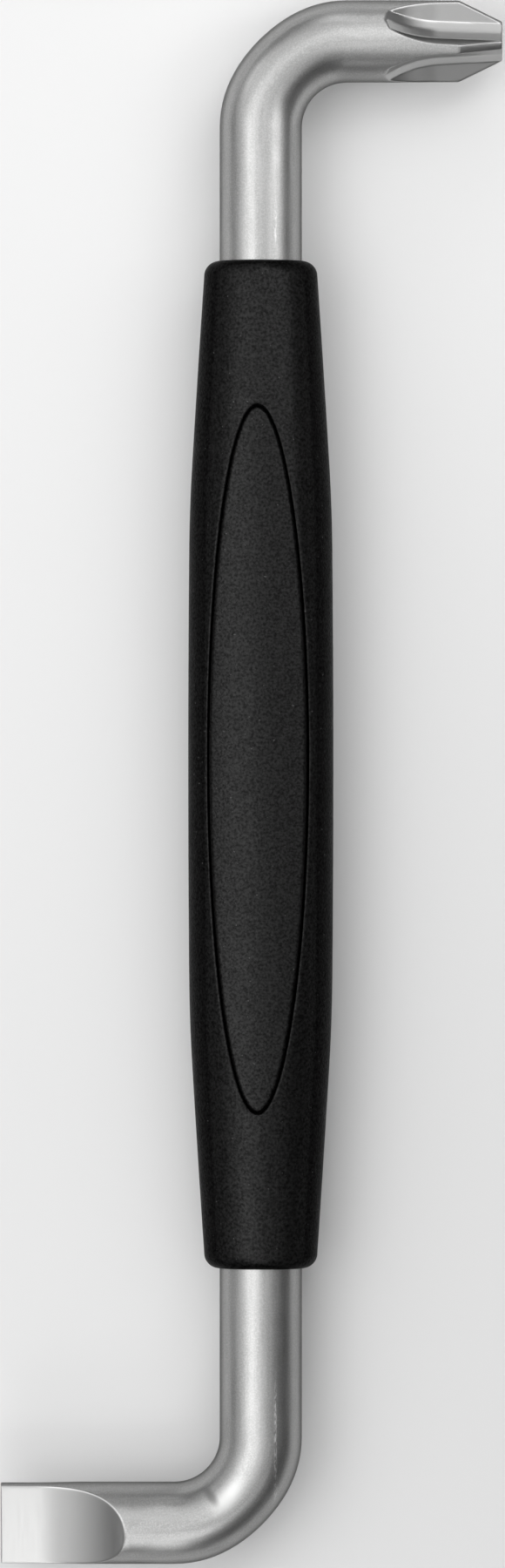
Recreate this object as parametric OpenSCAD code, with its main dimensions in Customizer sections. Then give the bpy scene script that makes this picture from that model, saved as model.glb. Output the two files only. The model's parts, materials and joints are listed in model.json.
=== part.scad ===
// Offset screwdriver, lying flat on a bench, in millimetres.
// One round steel bar is bent at both ends: one arm ends in a cross point, the other in a slotted blade.
// A hard core is moulded on the bar between the arms, and a soft grip sleeve is moulded over the core.
// +Y runs along the handle towards the cross point's arm, +X points out of the cross point, and +Z is up.
// z = 0 is the bench, and the origin is under the middle of the handle, below the bar's centre line.

/* [Bar] */
// Diameter of the round steel bar
bar_d = 8; // [7:0.1:8.6]
// Radius of each bend, measured to the bar's centre line
bend_r = 8.4; // [7:0.1:9.4]
// From the handle's end to the centre line of the cross point's arm
cross_neck = 21.4; // [19:0.1:28]
// From the handle's end to the centre line of the slotted arm
slot_neck = 24.8; // [21:0.1:32]
// From the handle's centre line to the end of the cross point
cross_reach = 23.5; // [22:0.1:30]
// From the handle's centre line to the end of the slotted blade
slot_reach = 25.3; // [23.5:0.1:32]
// Turn of both points about their own arms, in degrees
point_turn = 15; // [0:1:45]

/* [Slotted blade] */
// Thickness of the blade
blade_t = 1.2; // [1:0.1:1.6]
// Length of the blade's parallel faces
blade_flat_len = 3.5; // [2.5:0.1:4.5]
// Radius of the hollow that the grinding wheel leaves behind them
blade_hollow_r = 12.5; // [11:0.5:14]

/* [Cross point] */
// Diameter of the flat end of the cross point
cross_end_d = 3.81; // [3.5:0.01:4.1]
// Angle between the cone's side and the arm's centre line, in degrees
cone_angle = 26.5; // [24:0.5:30]
// From the arm's centre line to the bottom of a flute, at the point's end
flute_root_r = 1.4; // [1.25:0.01:1.55]
// Width of a flute's floor
flute_floor_w = 2.3; // [2.1:0.02:2.5]
// Rise of a flute's floor from its middle to its edges
flute_floor_rise = 0.34; // [0.2:0.01:0.5]
// Angle between the two sides of a flute, in degrees
flute_side_angle = 102; // [96:1:106]
// Slope of a flute's floor along the arm, in degrees
flute_rise_angle = 4; // [3:0.5:6]
// Length of the flute's straight stretch, along its floor
flute_straight_len = 6.2; // [5.4:0.1:6.8]
// Radius of the cutter that runs each flute out into the bar
flute_cutter_r = 9.4; // [8:0.2:11]

/* [Handle] */
// Length of the handle
handle_len = 98; // [90:0.5:106]
// Diameter of the handle's straight middle
handle_d = 14.12; // [13.4:0.02:16]
// Length of the handle's straight middle
middle_len = 32; // [20:0.5:40]
// Radius of the long curve between the middle and the taper
shoulder_r = 240; // [160:5:260]
// Slope of the taper towards each end, in degrees
taper_angle = 3.25; // [2.5:0.05:3.5]
// Radius of the rounding at each end
end_round_r = 1.45; // [1.2:0.05:1.6]
// Thickness of the soft sleeve over the core
sleeve_wall = 1; // [0.8:0.05:1.1]
// Turn of the whole handle about the bar, in degrees
handle_turn = 3; // [0:0.5:6]

/* [Oval pads] */
// Length of each oval pad
pad_len = 68.2; // [50:0.2:74]
// Width of each oval pad
pad_w = 9.36; // [7:0.02:10]
// From the handle's middle to each pad's middle, towards the cross point
pad_shift = 0.5; // [0:0.1:2]
// Height of the pad's crest over the sleeve beside the pad's end
pad_stand = 0.05; // [0.02:0.01:0.2]
// Radius of the pad's face, crosswise
pad_face_r = 11.6; // [9:0.1:14]
// Width of the groove between each pad and the sleeve
groove_w = 0.3; // [0.2:0.05:0.5]

/* [Anchor] */
// Depth of the two flats on the bar that key the core
anchor_depth = 0.5; // [0.3:0.05:0.8]
// Length of the two flats
anchor_len = 14; // [8:0.5:20]
// Gap left all round between one moulding and what it is moulded over
mould_gap = 0.02; // [0.01:0.01:0.04]

/* [Hidden] */
$fn = 96;
// Steps along the outline's long curve and along its rounded end
shoulder_steps = 12;
round_steps = 10;
// Steps round each pad's oval
oval_steps = 96;
// How far a cut runs past what it cuts
overrun = 0.5;

bar_r = bar_d / 2;
handle_r = handle_d / 2;
half_handle = handle_len / 2;
half_middle = middle_len / 2;
cross_arm_y = half_handle + cross_neck;
slot_arm_y = -half_handle - slot_neck;

blade_half_t = blade_t / 2;
blade_cut_h = bar_r - blade_half_t + overrun;
blade_cut_angle = acos((blade_hollow_r - blade_cut_h) / blade_hollow_r);

cross_end_r = cross_end_d / 2;
cone_len = (bar_r - cross_end_r) / tan(cone_angle);
flute_lead = cross_end_r;
flute_half_w = flute_floor_w / 2;
flute_h = bar_r - flute_root_r + overrun;
flute_top_half_w = flute_half_w + (flute_h - flute_floor_rise) * tan(flute_side_angle / 2);
// Height of the flute's floor where its straight stretch ends, and how far the cutter turns from there
flute_start_r = flute_root_r + flute_straight_len * sin(flute_rise_angle);
flute_centre_r = flute_start_r + flute_cutter_r * cos(flute_rise_angle);
flute_cut_angle = acos((flute_centre_r - bar_r - overrun) / flute_cutter_r) - flute_rise_angle;
flute_section = [
    [0, 0],
    [flute_half_w, flute_floor_rise],
    [flute_top_half_w, flute_h],
    [-flute_top_half_w, flute_h],
    [-flute_half_w, flute_floor_rise]
];

// The handle's radius at a place y along it: a straight middle, a long curve, then a straight taper.
taper_start_y = half_middle + shoulder_r * sin(taper_angle);
taper_start_r = handle_r - shoulder_r * (1 - cos(taper_angle));
function handle_r_at(y) =
    y < half_middle ? handle_r
    : y < taper_start_y ? handle_r - shoulder_r + sqrt(pow(shoulder_r, 2) - pow(y - half_middle, 2))
    : taper_start_r - (y - taper_start_y) * tan(taper_angle);

// The pad's crest stands just above the highest sleeve beside it, so that the part rests on the pad.
pad_crest = handle_r_at(pad_len / 2 + groove_w - pad_shift) + pad_stand;
// The lower pad's round face touches the bench, a little to one side of the pad's centre.
axis_height = pad_face_r - (pad_face_r - pad_crest) * cos(handle_turn);

// Points along an arc, from one angle to another
function arc_points(centre, r, from, to, steps) =
    [for (step = [0:steps]) let (a = from + (to - from) * step / steps) centre + r * [cos(a), sin(a)]];

// Half of the handle's outline, from its middle to one end, as [radius, place along the bar].
// inset moves the whole outline inwards by the same distance everywhere.
function half_outline(inset) =
    let (
        round_r = end_round_r - inset,
        round_y = half_handle - end_round_r,
        round_centre_r = handle_r_at(round_y) - end_round_r / cos(taper_angle)
    )
    concat(
        arc_points([handle_r - shoulder_r, half_middle], shoulder_r - inset, 0, taper_angle, shoulder_steps),
        arc_points([round_centre_r, round_y], round_r, taper_angle, 90, round_steps),
        [[0, half_handle - inset]]
    );

// The handle's round body, shrunk by inset, lying along the bar's centre line.
module handle_body(inset) {
    half = half_outline(inset);
    mirrored = [for (i = [len(half) - 1:-1:0]) [half[i][0], -half[i][1]]];
    rotate([-90, 0, 0]) rotate_extrude() polygon(concat(half, mirrored));
}

// The stretch of bar inside the handle, grown by gap, with its two anchor flats.
module anchored_bar(gap) {
    flat_r = bar_r - anchor_depth + gap;
    difference() {
        rotate([90, 0, 0]) cylinder(r = bar_r + gap, h = handle_len + overrun * 2, center = true);
        for (side = [0, 1]) mirror([side, 0, 0])
            translate([flat_r, -anchor_len / 2 + gap, -bar_r - overrun])
                cube([anchor_depth + overrun, anchor_len - gap * 2, bar_d + overrun * 2]);
    }
}

// An upright prism over the oval pad, grown sideways by grow, from the bar's centre line up.
module oval_prism(grow) {
    half_w = pad_w / 2 + grow;
    half_len = pad_len / 2 + grow;
    translate([0, pad_shift, 0]) linear_extrude(height = handle_r + overrun)
        polygon([for (step = [0:oval_steps - 1])
            [half_w * cos(360 * step / oval_steps), half_len * sin(360 * step / oval_steps)]]);
}

// The wheel's cut on one side of the blade, with the blade's end at x = 0 and its face upwards.
module blade_cut() {
    translate([-overrun, -bar_r - overrun, blade_half_t])
        cube([blade_flat_len + overrun, bar_d + overrun * 2, blade_cut_h]);
    translate([blade_flat_len, 0, blade_half_t + blade_hollow_r])
        rotate([90, 90, 0]) rotate_extrude(angle = blade_cut_angle)
            translate([blade_hollow_r - blade_cut_h, -bar_r - overrun])
                square([blade_cut_h, bar_d + overrun * 2]);
}

// One flute's cut, with the cross point's end at x = 0 and the flute on the upper side.
module flute_cut() {
    translate([0, 0, flute_root_r]) rotate([0, -flute_rise_angle, 0]) {
        translate([-flute_lead, 0, 0]) rotate([90, 0, 90])
            linear_extrude(height = flute_lead + flute_straight_len) polygon(flute_section);
        translate([flute_straight_len, 0, flute_cutter_r])
            rotate([90, 90, 0]) rotate_extrude(angle = flute_cut_angle)
                polygon([for (p = flute_section) [flute_cutter_r - p[1], p[0]]]);
    }
}

// A quarter bend about z, from +X round to +Y.
module quarter_bend() {
    rotate_extrude(angle = 90) translate([bend_r, 0]) circle(r = bar_r);
}

// The round bar before its points are cut: a straight stretch, two bends, a coned arm and a plain arm.
module bar_blank() {
    straight_start_y = slot_arm_y + bend_r;
    straight_len = cross_arm_y - bend_r - straight_start_y;
    translate([0, straight_start_y, 0]) rotate([-90, 0, 0]) cylinder(r = bar_r, h = straight_len);
    translate([bend_r, cross_arm_y - bend_r, 0]) rotate([0, 0, 90]) quarter_bend();
    translate([-bend_r, straight_start_y, 0]) rotate([0, 0, -90]) quarter_bend();
    translate([cross_reach, cross_arm_y, 0]) rotate([0, -90, 0]) rotate_extrude()
        polygon([
            [0, 0],
            [cross_end_r, 0],
            [bar_r, cone_len],
            [bar_r, cross_reach - bend_r],
            [0, cross_reach - bend_r]
        ]);
    translate([-slot_reach, slot_arm_y, 0]) rotate([0, 90, 0]) cylinder(r = bar_r, h = slot_reach - bend_r);
}

// What the two anchor flats take off the bar.
module anchor_cuts() {
    difference() {
        rotate([90, 0, 0]) cylinder(r = bar_d, h = anchor_len, center = true);
        anchored_bar(0);
    }
}

// The steel bar with its two bends and two points.
module shank() {
    color("silver") translate([0, 0, axis_height]) difference() {
        bar_blank();
        rotate([0, -handle_turn, 0]) anchor_cuts();
        translate([-slot_reach, slot_arm_y, 0]) rotate([point_turn, 0, 0])
            for (side = [0, 1]) mirror([0, 0, side]) blade_cut();
        translate([cross_reach, cross_arm_y, 0]) rotate([0, 0, 180])
            for (quarter = [0:3]) rotate([45 + 90 * quarter - point_turn, 0, 0]) flute_cut();
    }
}

// The hard core, moulded on the bar, with an oval pad above and below.
module handle_core() {
    color("dimgray") translate([0, 0, axis_height]) rotate([0, -handle_turn, 0])
        difference() {
            union() {
                handle_body(sleeve_wall);
                for (side = [0, 1]) mirror([0, 0, side]) intersection() {
                    oval_prism(0);
                    translate([0, pad_shift, pad_crest - pad_face_r])
                        rotate([90, 0, 0]) cylinder(r = pad_face_r, h = pad_len + overrun, center = true);
                }
            }
            anchored_bar(mould_gap);
        }
}

// The soft sleeve, moulded over the core, with a window for each pad that leaves the groove round it.
module grip_sleeve() {
    color("black") translate([0, 0, axis_height]) rotate([0, -handle_turn, 0])
        difference() {
            handle_body(0);
            handle_body(sleeve_wall - mould_gap);
            rotate([90, 0, 0])
                cylinder(r = bar_r + mould_gap, h = handle_len + overrun * 2, center = true);
            for (side = [0, 1]) mirror([0, 0, side]) oval_prism(groove_w);
        }
}

shank();
handle_core();
grip_sleeve();
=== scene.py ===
# %% [markdown]
# # An offset screwdriver
# A round steel bar is bent into a flat Z. One arm ends in a cross point and the other in a slotted blade.
# A hard core is moulded on the middle of the bar, and a soft black grip is moulded over the core, with an
# oval window on each side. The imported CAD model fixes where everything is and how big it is. This lesson
# makes a finer surface over each of its three solids and gives each one the finish of the real thing.

# %% Load the fixed frame
import json
import math

import bmesh
import bpy
import numpy as np
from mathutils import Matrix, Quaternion, Vector


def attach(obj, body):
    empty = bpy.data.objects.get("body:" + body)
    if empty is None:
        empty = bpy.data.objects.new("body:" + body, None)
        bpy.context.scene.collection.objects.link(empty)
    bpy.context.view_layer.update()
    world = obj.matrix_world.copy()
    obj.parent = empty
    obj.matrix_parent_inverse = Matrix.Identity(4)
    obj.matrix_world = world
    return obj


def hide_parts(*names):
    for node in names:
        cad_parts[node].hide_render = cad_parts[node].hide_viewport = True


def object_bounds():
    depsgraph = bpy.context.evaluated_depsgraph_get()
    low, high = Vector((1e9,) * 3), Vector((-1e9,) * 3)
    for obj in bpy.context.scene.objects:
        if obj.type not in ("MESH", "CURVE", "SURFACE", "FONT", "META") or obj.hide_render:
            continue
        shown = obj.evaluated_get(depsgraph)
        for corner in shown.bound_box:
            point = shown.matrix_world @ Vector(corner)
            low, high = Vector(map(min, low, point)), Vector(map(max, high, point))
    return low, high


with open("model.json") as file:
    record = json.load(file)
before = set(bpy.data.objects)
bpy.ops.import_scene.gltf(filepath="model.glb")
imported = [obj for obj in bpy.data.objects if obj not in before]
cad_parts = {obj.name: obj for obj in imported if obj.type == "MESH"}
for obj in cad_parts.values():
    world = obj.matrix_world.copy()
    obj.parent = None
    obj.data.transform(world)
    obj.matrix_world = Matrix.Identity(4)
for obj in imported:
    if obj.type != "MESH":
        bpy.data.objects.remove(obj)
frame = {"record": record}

cad_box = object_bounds()
mounts = {mount["name"]: mount for mount in frame["record"]["mounts"]}
print("CAD box, mm:", [[round(v * 1000, 2) for v in corner] for corner in cad_box])

# %% [markdown]
# ## Working in millimetres
# A tool like this is drawn in millimetres, while Blender works in metres. So every length below is in
# millimetres, and only the last step, which hands points to Blender, turns them into metres. The places
# of the two points are read from the CAD model's record, so the surfaces can't drift off their solids.

# %% Shared places and sizes
MM = 0.001
BAR_R = 4.0              # radius of the round bar
BEND_R = 8.4             # radius of the bends, to the bar's centre line
POINT_TURN = 15.0        # both points are turned about their arms, in degrees
HANDLE_TURN = 3.0        # the handle is turned about the bar, in degrees

cross_tip = np.array(mounts["cross_end_face"]["pos_m"]) / MM
blade_tip = np.array(mounts["blade_end_face"]["pos_m"]) / MM
AXIS_Z = cross_tip[2]    # height of the bar's centre line over the bench
print("cross point ends at", cross_tip.round(3), "and blade at", blade_tip.round(3))


# %% Rounded corners, as numbers
def smooth_min(a, b, width):
    """The smaller of a and b. Where they differ by less than width, a parabola rounds the corner between
    them: the smaller value less (width - difference) squared over four times width."""
    near = np.clip(width - np.abs(a - b), 0, None)
    return np.minimum(a, b) - near ** 2 / (4 * width)


def smooth_max(a, b, width):
    """The larger of a and b, rounded in the same way."""
    return -smooth_min(-a, -b, width)


def smooth_step(x, start, end):
    """0 before start, 1 after end, and 3t^2 - 2t^3 between them, where t is the share of the way."""
    t = np.clip((x - start) / (end - start), 0, 1)
    return t * t * (3 - 2 * t)


print("rounded over 0.1 mm, a sharp corner loses", round(float(-smooth_min(0.0, 0.0, 0.1)), 4), "mm")

# %% [markdown]
# ## From a grid of points to a mesh
# All three pieces are grids: rows of points that are joined to the next row by four-sided faces. Where
# two grids meet, their points lie in the same places, and merging points that coincide sews them together
# into one closed skin. Closed skins matter, because a slicer or a physics engine fills them.

# %% The faces of a grid
def grid_faces(rows, columns, first, wrap, flip):
    """Faces of a grid whose points are numbered row by row from first. Face (i, j) joins points (i, j),
    (i, j+1), (i+1, j+1) and (i+1, j). wrap also joins the last column to the first, and flip turns every
    face the other way round."""
    i, j = np.meshgrid(np.arange(rows - 1), np.arange(columns if wrap else columns - 1), indexing="ij")
    k = (j + 1) % columns
    quads = np.stack([i * columns + j, i * columns + k, (i + 1) * columns + k, (i + 1) * columns + j], -1)
    quads = quads.reshape(-1, 4) + first
    return quads[:, ::-1] if flip else quads


print("faces of 3 by 4 points:", len(grid_faces(3, 4, 0, False, False)), "open and",
      len(grid_faces(3, 4, 0, True, False)), "wrapped")

# %% Sewing
WELD = 1e-7              # points nearer than this, in metres, are one point


def sew(mesh):
    """Merges points that coincide, drops faces that have no area left, and reports what remains. An edge
    is open if it doesn't join two faces that turn the same way round."""
    bm = bmesh.new()
    bm.from_mesh(mesh)
    bmesh.ops.remove_doubles(bm, verts=bm.verts, dist=WELD)
    bmesh.ops.dissolve_degenerate(bm, edges=bm.edges, dist=WELD)
    open_edges = sum(not edge.is_contiguous for edge in bm.edges)
    triangles = sum(len(face.verts) - 2 for face in bm.faces)
    volume = bm.calc_volume(signed=True) / MM ** 3
    bm.to_mesh(mesh)
    bm.free()
    print(f"{mesh.name}: {triangles} triangles, {open_edges} open edges, {volume:.1f} mm3")


# %% A piece from its grids
def make_piece(name, grids, attributes=()):
    """One mesh from several grids, each a tuple (points[rows, columns, 3] in mm, wrap, flip), plus named
    point attributes, each a tuple (name, type, field, list with one array per grid)."""
    points, faces, first = [], [], 0
    for grid, wrap, flip in grids:
        rows, columns, _ = grid.shape
        faces.append(grid_faces(rows, columns, first, wrap, flip))
        points.append(grid.reshape(-1, 3))
        first += rows * columns
    mesh = bpy.data.meshes.new(name)
    mesh.from_pydata(np.concatenate(points) * MM, [], np.concatenate(faces))
    for title, kind, field, arrays in attributes:
        values = np.concatenate([np.asarray(a, float).reshape(-1) for a in arrays])
        mesh.attributes.new(title, kind, "POINT").data.foreach_set(field, values)
    sew(mesh)
    mesh.shade_smooth()
    piece = bpy.data.objects.new(name, mesh)
    bpy.context.scene.collection.objects.link(piece)
    return piece


# %% [markdown]
# ## The bar's centre line
# The bar is one length of round steel. Its centre line is a straight arm, a quarter bend, the long straight
# that the handle sits on, another quarter bend and the other arm. It could be a curve with a bevel, but the
# ground points need a section that changes along it. So a ring of points is carried along the line, square
# to it. Rings are close together where a point is ground or a bend turns, and far apart where the bar is
# straight.

# %% How close the rings are
SHAPED_LEN = 12.6        # the points are cut no further from their ends than this
TIP_RINGS = [0, 0.012, 0.035, 0.07, 0.12, 0.18]      # mm from a tip, over its rounded edge
AFTER_TIP = 0.28         # mm from a tip to the first of the rings behind its rounded edge
SHAPED_RINGS = 104       # over the rest of a point
ARM_STEPS, BEND_STEPS, STRAIGHT_STEPS = 3, 24, 17
FAR = 99.0               # stands for the distance to a tip on another arm, in mm

straight_start = blade_tip[1] + BEND_R
straight_end = cross_tip[1] - BEND_R
blade_arm = -blade_tip[0] - BEND_R       # an arm's straight length, from its tip to where the bend begins
cross_arm = cross_tip[0] - BEND_R


def arm_stations(length):
    """Distances from an arm's tip to its rings, from the tip to where the bend begins."""
    shaped = np.linspace(AFTER_TIP, SHAPED_LEN, SHAPED_RINGS)
    return np.concatenate([TIP_RINGS, shaped, np.linspace(SHAPED_LEN, length, ARM_STEPS + 1)[1:]])


print("rings on an arm:", len(arm_stations(cross_arm)), "and in a bend:", BEND_STEPS)


# %% The rings along the bar
def bar_rings():
    """For every ring: its centre [x, y], the direction of travel [x, y], its distance from the blade's end
    and from the cross point's end (FAR off that arm), its distance along the bar, and its share of a bend's
    flattening, 0 at the bend's ends and 1 in its middle: the squared sine of twice the angle turned."""
    blade_d = arm_stations(blade_arm)
    cross_d = arm_stations(cross_arm)[::-1]
    turn = np.linspace(0, math.pi / 2, BEND_STEPS + 1)[1:]
    middle = np.linspace(straight_start, straight_end, STRAIGHT_STEPS + 1)[1:]
    parts = [
        (blade_tip[0] + blade_d, blade_tip[1] + 0 * blade_d, 1 + 0 * blade_d, 0 * blade_d),
        (BEND_R * np.sin(turn) - BEND_R, straight_start - BEND_R * np.cos(turn), np.cos(turn), np.sin(turn)),
        (0 * middle, middle, 0 * middle, 1 + 0 * middle),
        (BEND_R - BEND_R * np.cos(turn), straight_end + BEND_R * np.sin(turn), np.sin(turn), np.cos(turn)),
        (cross_tip[0] - cross_d[1:], cross_tip[1] + 0 * cross_d[1:], 1 + 0 * cross_d[1:], 0 * cross_d[1:]),
    ]
    x, y, along_x, along_y = (np.concatenate(column) for column in zip(*parts))
    counts = [len(part[0]) for part in parts]
    lower, upper = counts[0], len(x) - counts[4]         # where the lower bend starts and the upper ends
    from_blade, from_cross, bend_share = np.full(len(x), FAR), np.full(len(x), FAR), np.zeros(len(x))
    from_blade[:lower] = blade_d
    from_cross[upper:] = cross_d[1:]
    bend_share[lower:lower + BEND_STEPS] = np.sin(2 * turn) ** 2
    bend_share[upper - BEND_STEPS:upper] = np.sin(2 * turn) ** 2
    travelled = np.concatenate([[0], np.cumsum(np.hypot(np.diff(x), np.diff(y)))])
    return x, y, along_x, along_y, from_blade, from_cross, travelled, bend_share


ring_x, ring_y, ring_tx, ring_ty, from_blade, from_cross, travelled, bend_share = bar_rings()
print(len(ring_x), "rings along", round(travelled[-1], 1), "mm of bar")

# %% [markdown]
# ## The slotted blade
# A grinding wheel takes both sides of the bar down to a flat blade 1.2 mm thick. The flats run parallel
# for 3.5 mm and then rise in the wheel's own curve, a radius of 12.5 mm, until they run out into the round
# bar. A boolean cut would do that too, but it leaves long thin faces and sharp edges. Here the blade is a
# test: a number that is negative inside the steel and positive where the wheel has been. The surface is
# where the number is zero, and two tests can be joined with a rounded edge between them.

# %% The blade's test
BLADE_HALF_T = 0.6       # half the blade's thickness
BLADE_FLAT = 3.5         # length of its parallel faces
WHEEL_R = 12.5           # radius of the hollow behind them
EDGE_ROUND = 0.12        # how far an edge's rounding reaches on either side of it, in the points' sections
SIDE_ROUND = 0.05        # the same, where the wheel's two cuts meet beside the bar
TIP_ROUND = 0.1          # radius of the edge round a tip's flat end


def wheel_cut(d, h):
    """How far a point lies inside the wheel's cut: d from the blade's end and h above its middle plane.
    Over the flat that is h less half the thickness, and behind it the wheel's radius less the distance to
    the wheel's axle."""
    over_flat = h - BLADE_HALF_T
    under_wheel = WHEEL_R - np.hypot(d - BLADE_FLAT, h - BLADE_HALF_T - WHEEL_R)
    return np.where(d < BLADE_FLAT, over_flat, under_wheel)


def tip_inset(d):
    """How far a section shrinks near a tip, so that the end's edge is rounded: the rounding's radius less
    the height of a quarter circle."""
    return TIP_ROUND - np.sqrt(TIP_ROUND ** 2 - np.clip(TIP_ROUND - d, 0, None) ** 2)


def blade_test(d, r, turn):
    """The blade's section at distance d from its end, at radius r and angle turn from the face's middle."""
    cut = smooth_max(wheel_cut(d, r * np.cos(turn)), wheel_cut(d, -r * np.cos(turn)), SIDE_ROUND)
    return smooth_max(r - BAR_R, cut, EDGE_ROUND) + tip_inset(d)


run_out = BLADE_FLAT + math.sqrt(WHEEL_R ** 2 - (WHEEL_R + BLADE_HALF_T - BAR_R) ** 2)
print(f"the wheel's cut runs out {run_out:.2f} mm from the blade's end")

# %% [markdown]
# ## The cross point
# The end is first turned to a cone of 26.5 degrees a side, down to 3.81 mm across. Then four flutes are
# milled, each a shallow V for a floor with two sides that open at 102 degrees. A flute climbs at 4 degrees
# for 6.2 mm and then follows the cutter's curve, 9.4 mm in radius, out of the bar. The four thin wings
# that are left between the flutes are what turns the screw. It is a test like the blade's, and the section
# repeats every quarter turn. In the photograph both halves of a floor are nearly one tone, so the V is
# drawn flatter here than in the CAD, by 0.09 mm in its middle.

# %% The flutes' sizes
CONE_ANGLE = math.radians(26.5)
CROSS_END_R = 1.905      # radius of the flat end
FLUTE_ROOT_R = 1.4       # from the arm's centre line to the middle of a floor, at the end
FLUTE_HALF_FLOOR = 1.15  # half the width of the CAD's floor
FLUTE_FLOOR_RISE = 0.34  # how much that floor rises to each side
FLUTE_FLOOR_LIFT = 0.09  # how much the middle of the floor is lifted here
FLUTE_SIDE = math.radians(51)            # between a flute's side and its middle plane
FLUTE_CLIMB = math.radians(4)            # of the floor towards the bar
FLUTE_STRAIGHT = 6.2     # length of the straight climb
CUTTER_R = 9.4           # radius of the run-out behind it
FLUTE_ROUND = 0.03       # rounding of the corners inside a flute
FLOOR_ROUND = 0.12       # rounding of the V in the middle of a flute's floor
CONE_ROUND = 0.06        # rounding where the cone meets the round bar

# A floor rises by FLOOR_SLOPE to each side until it meets the side, CORNER_U from the flute's middle and
# CORNER_OVER above the CAD's floor: that is where the two straight lines cross.
FLOOR_SLOPE = (FLUTE_FLOOR_RISE - 2 * FLUTE_FLOOR_LIFT) / FLUTE_HALF_FLOOR
SIDE_SLOPE = 1 / math.tan(FLUTE_SIDE)
CORNER_U = FLUTE_FLOOR_LIFT - FLUTE_FLOOR_RISE + FLUTE_HALF_FLOOR * SIDE_SLOPE
CORNER_U /= SIDE_SLOPE - FLOOR_SLOPE
CORNER_OVER = FLUTE_FLOOR_LIFT + FLOOR_SLOPE * CORNER_U
print("flute corner, mm to the side and over the floor:", round(CORNER_U, 3), round(CORNER_OVER, 3))


# %% The cross point's test
def flute_height(d, h):
    """Height of a point over the middle of a flute's floor, as the cutter sees it. The floor is tilted by
    its climb, so d and h are turned by that angle first; past the straight stretch the height is the
    cutter's radius less the distance to the cutter's axle."""
    along = d * math.cos(FLUTE_CLIMB) + (h - FLUTE_ROOT_R) * math.sin(FLUTE_CLIMB)
    over = -d * math.sin(FLUTE_CLIMB) + (h - FLUTE_ROOT_R) * math.cos(FLUTE_CLIMB)
    under_cutter = CUTTER_R - np.hypot(along - FLUTE_STRAIGHT, over - CUTTER_R)
    return np.where(along < FLUTE_STRAIGHT, over, under_cutter)


def flute_cut(d, u, h):
    """How far a point lies inside a flute's cut: u to the side of the flute's middle. It is the smaller of
    its distances to the floor and to the nearer side. The root of u squared and FLOOR_ROUND squared stands
    for the size of u, which rounds the bottom of the V."""
    over = flute_height(d, h)
    aside = np.sqrt(u ** 2 + FLOOR_ROUND ** 2)
    floor = (over - FLUTE_FLOOR_LIFT - FLOOR_SLOPE * aside) / math.hypot(1, FLOOR_SLOPE)
    above, past = over - FLUTE_FLOOR_RISE, aside - FLUTE_HALF_FLOOR
    flank = above * math.sin(FLUTE_SIDE) - past * math.cos(FLUTE_SIDE)
    return smooth_min(floor, flank, FLUTE_ROUND)


def cross_test(d, r, turn):
    """The cross point's section at distance d from its end, at radius r and angle turn from the middle
    of the nearest flute."""
    cone = (r - CROSS_END_R - d * math.tan(CONE_ANGLE)) * math.cos(CONE_ANGLE)
    blank = smooth_max(r - BAR_R, cone, CONE_ROUND)
    flute = flute_cut(d, r * np.sin(turn), r * np.cos(turn))
    return smooth_max(blank, flute, EDGE_ROUND) + tip_inset(d)


depth = BAR_R - FLUTE_ROOT_R + flute_height(4.0, FLUTE_ROOT_R)
print(f"4 mm behind the end a flute's floor lies {depth:.2f} mm under the round bar")

# %% [markdown]
# ## Columns that follow the edges
# A grid shows a crisp edge only if its lines run along the edge. So in every ring the columns are spread
# by where the edge lies in that ring: some over the ground face, a tight bunch across the edge, and the
# rest over what is left of the round bar. Further up the bar they relax to an even spacing. The edge is
# found by halving: an interval that is sure to hold it is cut in two, and the half that holds it is kept.

# %% Halving an interval
HALVINGS = 40            # they narrow an interval to a millionth of a millionth of its width


def halve(below, low, high):
    """Where below(place) turns from true to false between low and high, for a whole array at once."""
    for _ in range(HALVINGS):
        middle = (low + high) / 2
        under = below(middle)
        low, high = np.where(under, middle, low), np.where(under, high, middle)
    return (low + high) / 2


print("halving finds the square root of 2 as", round(float(halve(lambda x: x * x < 2, 1.0, 2.0)), 6))

# %% Spreading columns
COLUMNS = 288
BUNCH = np.array([-0.13, -0.075, -0.035, 0, 0.035, 0.075, 0.13])     # mm from the edge, round the bar
BUNCH_ROOM = 0.16        # mm that a bunch needs beyond its edge


def spread(start, stop, count):
    """count angles from start to stop for each ring, without the last."""
    share = np.arange(count) / count
    return start[:, None] + (stop - start)[:, None] * share


# %% Columns round the blade
FACE_COLUMNS = 30        # over half a blade's face
SIDE_COLUMNS = 36        # from the edge to the middle of the bar's side, the first shared with the edge
LEAST_FACE = 0.1         # half a face counts as at least this wide, in radians, where it runs out


def blade_columns(d):
    """Angles from the middle of a blade face to the middle of the blade's side, 72 for each ring. Over the
    face their tangents are spread evenly, which spaces them evenly on the flat. Where the side is narrow,
    the bunch across the edge is squeezed into it."""
    edge = halve(lambda turn: wheel_cut(d, BAR_R * np.cos(turn)) > 0, 0 * d, 0 * d + math.pi / 2)
    edge = np.maximum(edge, LEAST_FACE)
    room = np.minimum(1, (math.pi / 2 - edge) / (BUNCH_ROOM / BAR_R))[:, None]
    bunch = edge[:, None] + (BUNCH / BAR_R)[None, :] * room
    face = np.arctan(np.tan(bunch[:, 0])[:, None] * (np.arange(FACE_COLUMNS) / FACE_COLUMNS)[None, :])
    side = spread(bunch[:, -1], 0 * d + math.pi / 2, SIDE_COLUMNS)[:, 1:]
    return np.concatenate([face, bunch, side], 1)


# %% Where a flute's floor and edge are
FLOOR_LOW, FLOOR_HIGH = 1.0, 6.0         # mm from the arm's centre line, between which every floor lies
LEAST_FLUTE = 0.09       # half a flute counts as at least this wide, in radians, where it runs out


def floor_bottom(d):
    """Height of the middle of a flute's floor over the arm's centre line."""
    return halve(lambda h: flute_height(d, h) < 0, 0 * d + FLOOR_LOW, 0 * d + FLOOR_HIGH)


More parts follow.
